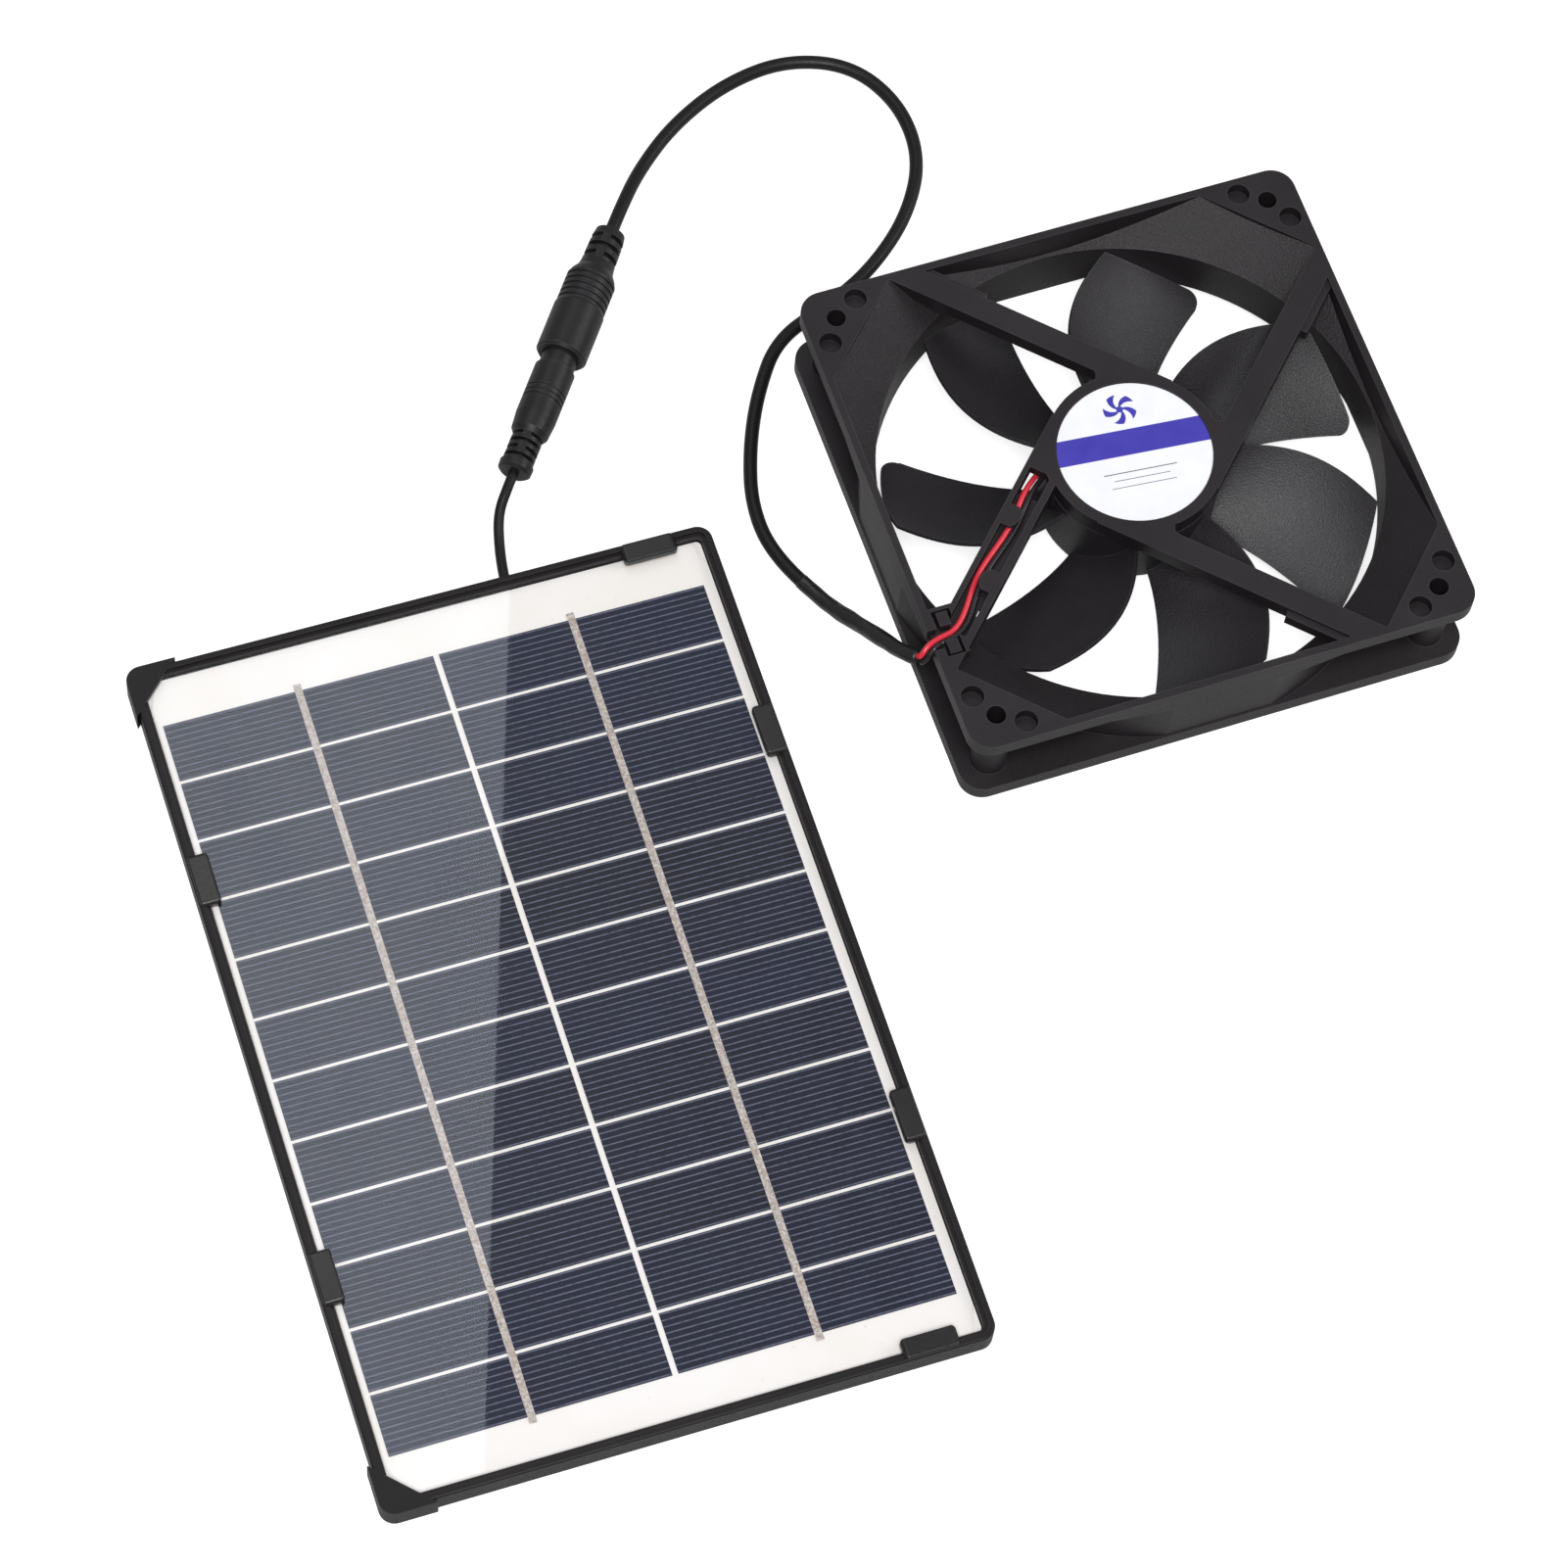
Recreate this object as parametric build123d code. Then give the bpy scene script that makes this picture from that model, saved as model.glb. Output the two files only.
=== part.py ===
# Solar attic fan: a 120 mm axial fan on a two-core cable, a round barrel plug and jack,
# and a framed solar panel.  Units are millimetres, +Z is up.
# Origin: on the rotor axis, in the plane that the fan's lower flange stands on.
import os
from math import cos, pi, radians, sin, sqrt

from build123d import *

# ---------------------------------------------------------------- fan housing
fan_side = 120.0
fan_depth = 25.0
flange_thickness = 4.0
flange_corner_radius = 5.5
bolt_pitch = 105.0
bolt_hole_radius = 2.2
bolt_post_radius = 4.2
pocket_radius = 2.6
pocket_depth = 3.0
pocket_near = 46.7
pocket_far = 55.9
rim_width = 1.8
duct_wall = 3.3
throat_radius = 57.6
throat_top = 17.0
flare_skin = 2.1
corner_chamfer_distance = 68.0
inlet_radius = 62.6
inlet_depth = 4.6
inlet_edge_wall = 1.2
wall_inset = 0.4

hub_radius = 20.2
hub_plate = 2.6
hub_skirt = 4.4
hub_skirt_wall = 1.8
label_radius = 17.7
label_recess = 0.5
label_thickness = 0.25

strut_angle = 45.0
strut_width = 5.8
strut_thickness = 4.0
strut_outer_offset = 20.5
strut_root_radius = 1.6
channel_strut_width = 8.2
foot_length = 9.0
foot_extra = 1.6
channel_width = 5.2
channel_depth = 2.9
channel_offset = 16.6
channel_start = 14.5
window_length = 6.0
tab_thickness = 0.9
tab_length = 5.5
tab_radius = 3.5
tab_places = (27.7, 44.8)
shut_off_slots = ((50.9, 16.3), (51.8, 14.3))
shut_off_size = (2.0, 0.8)
exit_y = -31.2
exit_width = 5.0
platform_edge_y = -23.6
clip_block_x = (-56.8, -54.2)
clip_block_length = 3.4
clip_gap = 3.6
clip_centre_y = -30.2

# ---------------------------------------------------------------- motor
tube_outer_radius = 4.0
tube_bore_radius = 3.2
tube_bottom = 8.4
shaft_radius = 1.5
running_clearance = 0.04
bearing_length = 10.0
stator_radius = 14.6
stator_height = 6.0
stator_bottom = 10.0
pole_count = 4
pole_neck = 5.0
pole_shoe = 2.2
pole_gap_degrees = 16.0
insulator_thickness = 0.8
coil_swell = 1.5
board_radius = 16.5
board_thickness = 1.2
magnet_thickness = 1.7
magnet_height = 9.0
yoke_thickness = 1.0

# ---------------------------------------------------------------- impeller
blade_count = 7
blade_tip_clearance = 1.8
blade_thickness = 1.5
rotor_bottom = 2.0
rotor_gap = 0.6
rotor_face = 2.2
rotor_edge_radius = 2.0
boss_radius = 4.4
boss_height = 2.6
blade_low = 4.2
blade_high = 19.0
blade_corner_radius = 3.0

# ---------------------------------------------------------------- leads
lead_radius = 0.65
fan_cable_diameter = 3.2
panel_cable_diameter = 2.4
sleeve_diameter = 3.9

# ---------------------------------------------------------------- connector
connector_start = (-90.0, 99.4)
connector_heading = -127.5
jack_length = 35.0
jack_radius = 6.0
jack_boot_length = 13.0
jack_mouth_radius = 4.4
jack_mouth_depth = 1.2
plug_length = 32.0
plug_neck_radius = 4.15
plug_radius = 4.75
plug_boot_length = 10.0
barrel_radius = 2.75
barrel_length = 9.5
barrel_wall = 0.35
barrel_clearance = 0.06
pin_radius = 1.0
pin_clearance = 0.06

# ---------------------------------------------------------------- solar panel
panel_width = 134.4
panel_length = 202.6
panel_height = 7.0
panel_centre = (-162.6, -79.3)
panel_turn = -1.2
panel_corner_radius = 3.5
frame_wall = 2.4
frame_ledge = 5.0
frame_ledge_thickness = 1.2
laminate_gap = 0.25
backsheet_thickness = 0.8
encapsulant_thickness = 0.6
cover_thickness = 1.0
rim_above_cover = 1.0
cell_thickness = 0.2
cell_rows = 12
cell_columns = 2
cell_block_width = 125.0
cell_block_length = 176.6
cell_block_shift = (-0.5, -0.7)
cell_gap = 0.8
column_gap = 1.3
ribbon_width = 1.7
ribbon_thickness = 0.12
ribbon_overrun = 1.6
corner_cap_leg = 11.0
cap_proud = 0.9
cap_lift = 0.8
clip_length = 12.5
clip_overhang = 2.6
clip_side_position = 48.0
clip_end_position = 52.5
junction_width = 30.0
junction_length = 20.0
junction_from_top = 24.0
junction_wall = 1.0

os.makedirs("parts", exist_ok=True)


def write(name, shape):
    """Write one sub-part as a STEP file; several solids go in as one group."""
    solids = shape.solids() if hasattr(shape, "solids") else ShapeList(shape)
    body = solids[0] if len(solids) == 1 else Compound(children=list(solids))
    export_step(body, f"parts/{name}.step")
    print(name, "solids", len(solids), "volume", round(sum(s.volume for s in solids), 2))
    return body


def cylinder(radius, low, high, x=0.0, y=0.0):
    return Pos(x, y, (low + high) / 2) * Cylinder(radius, high - low)


def ring(outer, inner, low, high):
    return cylinder(outer, low, high) - cylinder(inner, low - 1, high + 1)


def block(x0, x1, y0, y1, z0, z1):
    return Pos((x0 + x1) / 2, (y0 + y1) / 2, (z0 + z1) / 2) * Box(x1 - x0, y1 - y0, z1 - z0)


def cone(low_radius, high_radius, low, high):
    return Pos(0, 0, (low + high) / 2) * Cone(low_radius, high_radius, high - low)


def rounded_plate(width, length, radius, low, high):
    return Pos(0, 0, low) * extrude(RectangleRounded(width, length, radius), high - low)



def route(points, diameter, name, stiffness=0.45):
    """Straight runs joined by tangent arcs; each arc takes 0.45 of the shorter run beside it."""
    vectors = [Vector(*p) for p in points]
    radii = []
    for before, here, after in zip(vectors, vectors[1:], vectors[2:]):
        turn = radians((here - before).get_angle(after - here))
        shorter = min((here - before).length, (after - here).length)
        radii.append(stiffness * shorter / max(sin(turn / 2) / cos(turn / 2), 1e-6))
    line = FilletPolyline(*points, radius=radii)
    start = Plane(origin=line @ 0, z_dir=line % 0)
    tube = sweep(start * Circle(diameter / 2), path=line)
    section = pi * diameter * diameter / 4
    print(name, "length", round(line.length, 1), "radii", [round(r, 1) for r in radii])
    print(name, "volume", round(tube.volume, 1), "section x length", round(section * line.length, 1))
    return tube


# ================================================================ fan housing
half = fan_side / 2
hub_low = fan_depth - hub_plate
strut_low = fan_depth - strut_thickness
skirt_low = fan_depth - hub_skirt


def strut_box(low_offset, high_offset, start, end, low, high):
    """A bar beside the axis: it runs along local +X, its offset is to its local -Y side."""
    return block(start, end, -high_offset, -low_offset, low, high)


def make_duct():
    opening_half = half - rim_width
    plate = rounded_plate(fan_side, fan_side, flange_corner_radius, 0, flange_thickness)
    top_plate = Pos(0, 0, fan_depth - flange_thickness) * plate
    wall = cylinder(throat_radius + duct_wall, 0, fan_depth)
    inset = 2 * (half - wall_inset)
    wall &= block(-inset / 2, inset / 2, -inset / 2, inset / 2, 0, fan_depth)
    posts = [
        cylinder(bolt_post_radius, 0, fan_depth, sx * bolt_pitch / 2, sy * bolt_pitch / 2)
        for sx in (-1, 1)
        for sy in (-1, 1)
    ]
    # Outlet: a square with cut corners at the top, running down a cone into the round throat.
    flare_reach = corner_chamfer_distance + 2.0
    flare = cone(throat_radius, flare_reach, throat_top, fan_depth + 0.01)
    skin = Pos(0, 0, -flare_skin) * flare
    skin &= block(-inset / 2, inset / 2, -inset / 2, inset / 2, 0, fan_depth - flange_thickness + 0.5)
    body = plate + top_plate + wall + skin
    body += posts
    flare &= block(-opening_half, opening_half, -opening_half, opening_half, 0, fan_depth + 1)
    side = 2 * corner_chamfer_distance
    flare &= Rot(0, 0, 45) * Pos(0, 0, fan_depth / 2) * Box(side, side, fan_depth + 2)
    # Inlet: a shallow bell mouth, cut off straight along the four sides.
    inlet_half = half - inlet_edge_wall
    inlet = cone(inlet_radius, throat_radius, -0.01, inlet_depth)
    inlet &= block(-inlet_half, inlet_half, -inlet_half, inlet_half, -1, fan_depth)
    body -= cylinder(throat_radius, -1, fan_depth + 1)
    body -= flare
    body -= inlet
    for sx in (-1, 1):
        for sy in (-1, 1):
            body -= cylinder(bolt_hole_radius, -1, fan_depth + 1, sx * bolt_pitch / 2, sy * bolt_pitch / 2)
            for px, py in ((pocket_near, pocket_far), (pocket_far, pocket_near)):
                body -= cylinder(pocket_radius, fan_depth - pocket_depth, fan_depth + 1, sx * px, sy * py)
    return body


def make_struts():
    reach = half - 1.0
    bars = []
    for turn in (0, 1, 2):
        inner = strut_outer_offset - strut_width
        bar = strut_box(inner, strut_outer_offset, 0, 2 * reach, strut_low, fan_depth)
        foot_start = sqrt(throat_radius**2 - inner**2) - foot_length
        foot = strut_box(inner, strut_outer_offset + foot_extra, foot_start, 2 * reach, strut_low, fan_depth - 1)
        bars.append(Rot(0, 0, strut_angle + 90 * (1 - turn)) * (bar + foot))
    inner = strut_outer_offset - channel_strut_width
    bar = strut_box(inner, strut_outer_offset, 0, 2 * reach, strut_low, fan_depth)
    bars.append(Rot(0, 0, strut_angle + 180) * bar)
    return bars


def make_strut_roots():
    """Fills the sharp corners between the hub's rim and the inner edges of the three plain struts."""
    inner = strut_outer_offset - strut_width
    centre_offset = inner - strut_root_radius
    along = sqrt((hub_radius + strut_root_radius) ** 2 - centre_offset**2)
    fill = strut_box(centre_offset, inner + 0.2, along - 4.0, along, hub_low, fan_depth)
    fill -= cylinder(strut_root_radius, 0, fan_depth + 1, along, -centre_offset)
    fill -= cylinder(label_radius + 0.6, 0, fan_depth + 1)
    return [Rot(0, 0, strut_angle + 90 * (1 - turn)) * fill for turn in (0, 1, 2)]


def make_channel_cuts():
    """The lead channel of the fourth strut, the window beside the hub and the slot in its skirt."""
    floor = fan_depth - channel_depth
    low = channel_offset - channel_width / 2
    high = channel_offset + channel_width / 2
    outside_hub = cylinder(fan_side, -1, fan_depth + 2) - cylinder(hub_radius + 0.8, -2, fan_depth + 3)
    channel = strut_box(low, high, channel_start, half, floor, fan_depth + 1) & outside_hub
    window = strut_box(low, high, channel_start, channel_start + window_length, strut_low - 5, fan_depth + 1)
    skirt_slot = strut_box(low, high, 0, channel_start + 1, skirt_low - 1, hub_low)
    cuts = channel + (window & outside_hub) + skirt_slot
    long, wide = shut_off_size
    for along, offset in shut_off_slots:
        cuts += strut_box(offset - wide / 2, offset + wide / 2, along - long / 2, along + long / 2, 0, fan_depth)
    return Rot(0, 0, strut_angle + 180) * cuts


def make_channel_tabs():
    """Two thin tongues that hold the leads down, one from each wall of the channel."""
    low = channel_offset - channel_width / 2
    high = channel_offset + channel_width / 2
    tabs = []
    for along, wall in zip(tab_places, (high, low)):
        tongue = strut_box(
            low - 0.2, high + 0.2, along - tab_length / 2, along + tab_length / 2, fan_depth - tab_thickness, fan_depth
        )
        tabs.append(tongue & cylinder(tab_radius, 0, fan_depth + 1, along, -wall))
    return Rot(0, 0, strut_angle + 180) * (tabs[0] + tabs[1])


def make_exit_cuts():
    """The pocket round the lead clip, and the notch where the leads go over the flange's edge."""
    floor = fan_depth - channel_depth
    x0, x1 = clip_block_x
    reach = clip_gap / 2 + clip_block_length + 0.5
    pocket = block(x0 - 1.0, x1 + 0.8, clip_centre_y - reach, clip_centre_y + reach, floor, fan_depth + 3)
    low = exit_y - exit_width / 2
    high = exit_y + exit_width / 2
    slot = block(-half - 1, x0, low, high, floor, fan_depth + 3)
    notch = block(-half - 1, -half + 1.0, low, high, -floor, fan_depth + 3)
    notch &= block(-half - 1, half, -half, half, fan_depth - flange_thickness - 0.01, fan_depth + 3)
    return pocket + slot + notch


def make_clip_blocks():
    x0, x1 = clip_block_x
    floor = fan_depth - channel_depth
    near = clip_centre_y + clip_gap / 2
    far = clip_centre_y - clip_gap / 2
    upper = block(x0, x1, near, near + clip_block_length, floor - 0.2, fan_depth)
    lower = block(x0, x1, far - clip_block_length, far, floor - 0.2, fan_depth)
    return upper + lower


def make_housing():
    body = make_duct()
    opening = half - rim_width + 0.5
    keep = block(-opening, opening, -opening, opening, strut_low, fan_depth)
    keep &= Rot(0, 0, 45) * Box(2 * corner_chamfer_distance, 2 * corner_chamfer_distance, 4 * fan_depth)
    hub = cylinder(hub_radius, hub_low, fan_depth)
    hub += ring(hub_radius, hub_radius - hub_skirt_wall, skirt_low, fan_depth)
    inside_hub = cylinder(hub_radius - 0.5, -1, fan_depth + 1)
    for bar in make_struts():
        body += (bar & keep) - inside_hub
    body += block(-opening, -52.5, -36.0, platform_edge_y, strut_low, fan_depth)
    body += make_strut_roots()
    body += hub
    body -= cylinder(label_radius, fan_depth - label_recess, fan_depth + 1)
    body -= cylinder(tube_outer_radius, -1, fan_depth + 1)
    body -= make_channel_cuts()
    body -= make_exit_cuts()
    body += make_channel_tabs()
    body += make_clip_blocks()
    return body


def strut_point(along, offset, z):
    """A point in the fourth strut's own directions, in the part's frame."""
    turn = radians(strut_angle + 180)
    return (along * cos(turn) + offset * sin(turn), along * sin(turn) - offset * cos(turn), z)


# ================================================================ motor, fixed side
board_top = hub_low - 2.4
board_low = board_top - board_thickness
tube_top = fan_depth - label_recess
stator_top = stator_bottom + stator_height
bearing_low = tube_bottom + 1.0
bearing_top = bearing_low + bearing_length


def make_stator_core():
    slot_half = radians(pole_gap_degrees / 2)
    core = ring(tube_outer_radius + 2.6, tube_outer_radius, stator_bottom, stator_top)
    shoes = ring(stator_radius, stator_radius - pole_shoe, stator_bottom, stator_top)
    gap_width = 2 * stator_radius * sin(slot_half)
    gap = block(0, stator_radius + 2, -gap_width / 2, gap_width / 2, 0, fan_depth)
    for pole in range(pole_count):
        angle = 360 / pole_count * pole
        neck = block(
            tube_outer_radius + 1, stator_radius - 0.5, -pole_neck / 2, pole_neck / 2, stator_bottom, stator_top
        )
        core += Rot(0, 0, angle) * neck
        shoes -= Rot(0, 0, angle + 180 / pole_count) * gap
    return core + shoes


def insulator_arms(width, low, high):
    arms = ring(tube_outer_radius + 3.0, tube_outer_radius, low, high)
    for pole in range(pole_count):
        arm = block(tube_outer_radius + 1, stator_radius - pole_shoe, -width / 2, width / 2, low, high)
        arms += Rot(0, 0, 360 / pole_count * pole) * arm
    return arms


def make_insulators():
    lower = insulator_arms(pole_neck, stator_bottom - insulator_thickness, stator_bottom)
    upper = insulator_arms(pole_neck, stator_top, stator_top + insulator_thickness)
    for pole in range(pole_count):
        angle = radians(360 / pole_count * (pole + 0.5))
        reach = tube_outer_radius + 1.8
        upper += cylinder(0.9, stator_top, board_low, reach * cos(angle), reach * sin(angle))
    return lower.solids() + upper.solids()


def make_windings():
    inner_low = stator_bottom - insulator_thickness
    inner_high = stator_top + insulator_thickness
    start = tube_outer_radius + 3.4
    wide = pole_neck / 2 + coil_swell
    end = sqrt((stator_radius - pole_shoe) ** 2 - wide**2) - 0.2
    middle = (inner_low + inner_high) / 2
    coil = Pos((start + end) / 2, 0, middle) * Box(
        end - start, 2 * wide, inner_high - inner_low + 2 * coil_swell * 0.7
    )
    coil = fillet(coil.edges().filter_by(Axis.X), 0.9)
    coil -= block(0, stator_radius, -pole_neck / 2, pole_neck / 2, inner_low, inner_high)
    return [s for pole in range(pole_count) for s in (Rot(0, 0, 360 / pole_count * pole) * coil).solids()]


# ================================================================ impeller
blade_tip_radius = throat_radius - blade_tip_clearance
rotor_wall_radius = hub_radius - 1.6
rotor_top = skirt_low - rotor_gap
blade_mean_angle = 75.0
# Stations out from the axis, with the places of the blade's high and low edges across it.
blade_stations = (
    (17.0, 7.3, -5.3),
    (28.0, 10.6, -9.0),
    (39.0, 10.2, -15.0),
    (50.0, 5.3, -23.1),
    (60.0, -3.0, -31.5),
)
blade_camber = 0.07


def blade_section(x, high_y, low_y):
    """A thin cambered section, hollow on its upper side, in the plane at x."""
    low = Vector(x, low_y, blade_low + blade_thickness / 2)
    high = Vector(x, high_y, blade_high - blade_thickness / 2)
    chord = high - low
    across = Vector(0, -chord.Z, chord.Y).normalized()
    middle = (low + high) * 0.5 - across * (blade_camber * chord.length)
    side = across * (blade_thickness / 2)
    thin = across * (blade_thickness / 3)
    upper = ThreePointArc(low + thin, middle + side, high + thin)
    lower = ThreePointArc(high - thin, middle - side, low - thin)
    lead = Line(low - thin, low + thin)
    trail = Line(high + thin, high - thin)
    return make_face([upper, trail, lower, lead])


def make_blade():
    blade = loft([blade_section(*station) for station in blade_stations])
    blade &= cylinder(blade_tip_radius, 0, fan_depth) - cylinder(hub_radius - 0.8, -1, fan_depth + 1)
    blade &= block(0, half, -half, half, 0, fan_depth)
    return blade - blade_corner()


def blade_corner():
    """What rounding takes off the corner between the blade's low edge and its tip."""
    (x0, _, y0), (x1, _, y1) = blade_stations[-2:]
    start = Vector(x0, y0, 0)
    edge = (Vector(x1, y1, 0) - start).normalized()
    side = Vector(-edge.Y, edge.X, 0)
    # The rounding's centre lies one radius in from the low edge and from the tip circle.
    inner = start + side * blade_corner_radius
    reach = blade_tip_radius - blade_corner_radius
    ahead = -inner.dot(edge) + sqrt(inner.dot(edge) ** 2 - inner.length**2 + reach**2)
    centre = inner + edge * ahead
    tip = centre.normalized()
    far = 3 * blade_corner_radius
    outline = Polyline(
        centre,
        centre - side * (blade_corner_radius + 1),
        centre - side * (blade_corner_radius + 1) + edge * far,
        centre + tip * far + edge,
        centre + tip * blade_corner_radius,
        close=True,
    )
    wedge = extrude(make_face(outline), fan_depth)
    return wedge - cylinder(blade_corner_radius, -1, fan_depth + 1, centre.X, centre.Y)


def make_impeller():
    cup = cylinder(hub_radius, rotor_bottom, rotor_top)
    cup = fillet(cup.faces().sort_by(Axis.Z)[0].edges(), rotor_edge_radius)
    cup -= cylinder(rotor_wall_radius, rotor_bottom + rotor_face, fan_depth)
    cup += cylinder(boss_radius, rotor_bottom + 0.5, rotor_bottom + rotor_face + boss_height)
    cup -= cylinder(shaft_radius, rotor_bottom + 0.8, fan_depth)
    blade = make_blade()
    for number in range(blade_count):
        cup += Rot(0, 0, blade_mean_angle + 360 / blade_count * number) * blade
    return cup


def make_yoke():
    low = rotor_bottom + rotor_face
    yoke = ring(rotor_wall_radius, rotor_wall_radius - yoke_thickness, low, low + magnet_height + 4.0)
    return yoke + ring(rotor_wall_radius, boss_radius, low, low + yoke_thickness)


def make_shaft():
    top = bearing_top + 1.4
    shaft = cylinder(shaft_radius, rotor_bottom + 0.8, top)
    shaft = chamfer(shaft.faces().sort_by(Axis.Z)[-1].edges(), 0.3)
    return shaft - ring(shaft_radius + 1, shaft_radius - 0.4, bearing_top + 0.5, bearing_top + 0.9)


# ================================================================ leads and cables
lead_z = fan_depth - channel_depth + lead_radius + 0.1
lead_spacing = 2 * lead_radius + 0.14


sleeve_points = [
    (-76.9, 2.6, 1.98),
    (-73.6, -4.6, 2.2),
    (-70.2, -13.0, 7.0),
    (-67.2, -22.0, 13.4),
    (-65.0, -28.8, 17.9),
    (-62.8, -32.0, 20.0),
]


def sleeve_face(shift):
    """A point on the sleeve's upper end, shifted up its face, and the way out of that face."""
    end = Vector(*sleeve_points[-1])
    out = (end - Vector(*sleeve_points[-2])).normalized()
    up = Vector(-0.3, 0.6, 0.7)
    up = (up - out * up.dot(out)).normalized()
    return end + up * shift, out


def make_lead(shift, outer_points):
    """An insulated lead: from the board, up through the window, along the channel and out."""
    inner_points = [
        strut_point(3.0, 15.2 + shift, board_top + lead_radius + 0.15),
        strut_point(9.0, 16.6 + shift, board_top + lead_radius + 0.3),
        strut_point(15.0, 17.7 + shift, lead_z - 1.15),
        strut_point(20.5, 17.9 + shift, lead_z + 0.1),
        strut_point(28.0, 17.3 + shift, lead_z),
        strut_point(36.0, 17.8 + shift, lead_z),
        strut_point(44.0, 18.4 + shift, lead_z),
        strut_point(51.0, 17.5 + shift, lead_z),
    ]
    end, out = sleeve_face(lead_spacing / 2 if shift == 0 else -lead_spacing / 2)
    points = [Vector(*p) for p in inner_points + outer_points] + [end]
    line = Spline(*points, tangents=[points[1] - points[0], -out])
    start = Plane(origin=line @ 0, z_dir=line % 0)
    return sweep(start * Circle(lead_radius), path=line)


red_lead_outer = [
    (-51.8, -27.7, lead_z),
    (-54.2, -29.3, lead_z),
    (-56.8, -29.9, lead_z),
    (-59.7, -30.8, lead_z),
    (-61.4, -31.7, lead_z - 0.6),
    (-62.5, -32.2, lead_z - 1.6),
]
black_lead_outer = [
    (-51.0, -29.1, lead_z),
    (-54.2, -30.75, lead_z),
    (-56.8, -31.3, lead_z),
    (-59.3, -32.2, lead_z - 0.1),
    (-61.0, -33.1, lead_z - 1.5),
    (-62.1, -33.1, lead_z - 2.9),
]

fan_cable_points = [
    (-90.0, 99.4, 6.0),
    (-85.13, 105.75, 6.0),
    (-77.2, 115.9, 2.6),
    (-65.5, 125.8, 1.6),
    (-50.5, 132.9, 1.6),
    (-34.5, 135.0, 1.6),
    (-20.0, 129.0, 1.6),
    (-12.8, 115.5, 1.6),
    (-13.2, 100.0, 1.6),
    (-21.5, 86.0, 1.6),
    (-34.0, 75.2, 1.6),
    (-46.5, 68.9, 1.6),
    (-61.3, 63.9, 1.6),
    (-70.4, 51.5, 1.6),
    (-76.8, 38.5, 1.6),
    (-81.2, 24.5, 1.6),
    (-80.86, 11.24, 1.74),
    (-76.9, 2.6, 1.98),
]

panel_cable_points = [
    (-130.79, 46.24, 6.0),
    (-133.23, 43.07, 6.0),
    (-136.9, 38.5, 3.9),
    (-138.9, 31.5, 1.6),
    (-140.4, 23.3, 1.6),
    (-140.8, 14.3, 1.6),
    (-141.2, 5.57, 1.6),
]

# ================================================================ connector
# Built along +X from the fan cable's end of the jack to the panel cable's end of the plug.
connector = Pos(connector_start[0], connector_start[1], jack_radius) * Rot(0, 0, connector_heading)
mouth_floor = jack_length - jack_mouth_depth
plug_face = mouth_floor + 0.1
plug_end = jack_length + plug_length
contact_radius = barrel_radius + barrel_clearance
insulator_radius = contact_radius + 1.1
insulator_length = barrel_length + 4.0


def turned(*points):
    """A solid of revolution about X from the outline (x, radius) and the axis."""
    outline = [(points[0][0], 0.0), *points, (points[-1][0], 0.0)]
    return revolve(make_face(Polyline(*outline, close=True)), Axis.X)


def along_x(radius, start, end):
    return Pos((start + end) / 2, 0, 0) * Rot(0, 90, 0) * Cylinder(radius, end - start)


def boot_slots(start, count, pitch, width, core):
    """Bending slots cut round a boot, each leaving two webs that alternate from slot to slot."""
    cuts = []
    for number in range(count):
        x = start + pitch * number
        cut = along_x(10.0, x, x + width) - along_x(core, x - 1, x + width + 1)
        web = Box(width * 4, 20, 1.8) if number % 2 else Box(width * 4, 1.8, 20)
        cuts.append(cut - Pos(x + width / 2, 0, 0) * web)
    return cuts


def grooves(start, count, pitch, width, radius, depth):
    return [
        along_x(radius + 2, start + pitch * n, start + pitch * n + width)
        - along_x(radius - depth, start + pitch * n - 1, start + pitch * n + width + 1)
        for n in range(count)
    ]


def make_jack_housing():
    slim = jack_radius - 0.2
    body = turned(
        (0, 3.5),
        (2.0, 3.8),
        (9.0, 4.0),
        (jack_boot_length - 2.2, 4.3),
        (jack_boot_length - 0.6, 5.3),
        (jack_boot_length + 0.6, slim),
        (jack_length - 13.4, slim),
        (jack_length - 12.8, jack_radius),
        (jack_length - 0.7, jack_radius),
        (jack_length, jack_radius - 0.6),
    )
    for cut in boot_slots(2.0, 3, 2.5, 1.3, 2.6):
        body -= cut
    for cut in grooves(jack_boot_length + 1.2, 5, 1.6, 0.7, slim, 0.45):
        body -= cut
    body -= along_x(jack_mouth_radius, mouth_floor, jack_length + 1)
    return body - along_x(insulator_radius, mouth_floor - insulator_length, jack_length + 1)


def make_jack_insulator():
    start = mouth_floor - insulator_length
    body = along_x(insulator_radius, start, mouth_floor)
    body -= along_x(contact_radius + 0.35, start + 2.0, mouth_floor + 1)
    return body - along_x(pin_radius, start - 1, mouth_floor + 1)


def make_plug_body():
    body = turned(
        (plug_face, plug_neck_radius),
        (jack_length + 3.4, plug_neck_radius),
        (jack_length + 3.8, plug_radius),
        (plug_end - 15.0, plug_radius),
        (plug_end - plug_boot_length - 1.0, 4.4),
        (plug_end - plug_boot_length + 0.2, 3.6),
        (plug_end - 2.6, 3.6),
        (plug_end - 2.2, 4.0),
        (plug_end - 0.6, 3.9),
        (plug_end, 3.2),
    )
    for cut in boot_slots(plug_end - plug_boot_length + 0.3, 4, 1.95, 1.0, 2.4):
        body -= cut
    for cut in grooves(jack_length + 10.0, 3, 1.3, 0.5, plug_radius, 0.3):
        body -= cut
    return body - along_x(barrel_radius, plug_face - 1, plug_face + 6.0)


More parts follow.
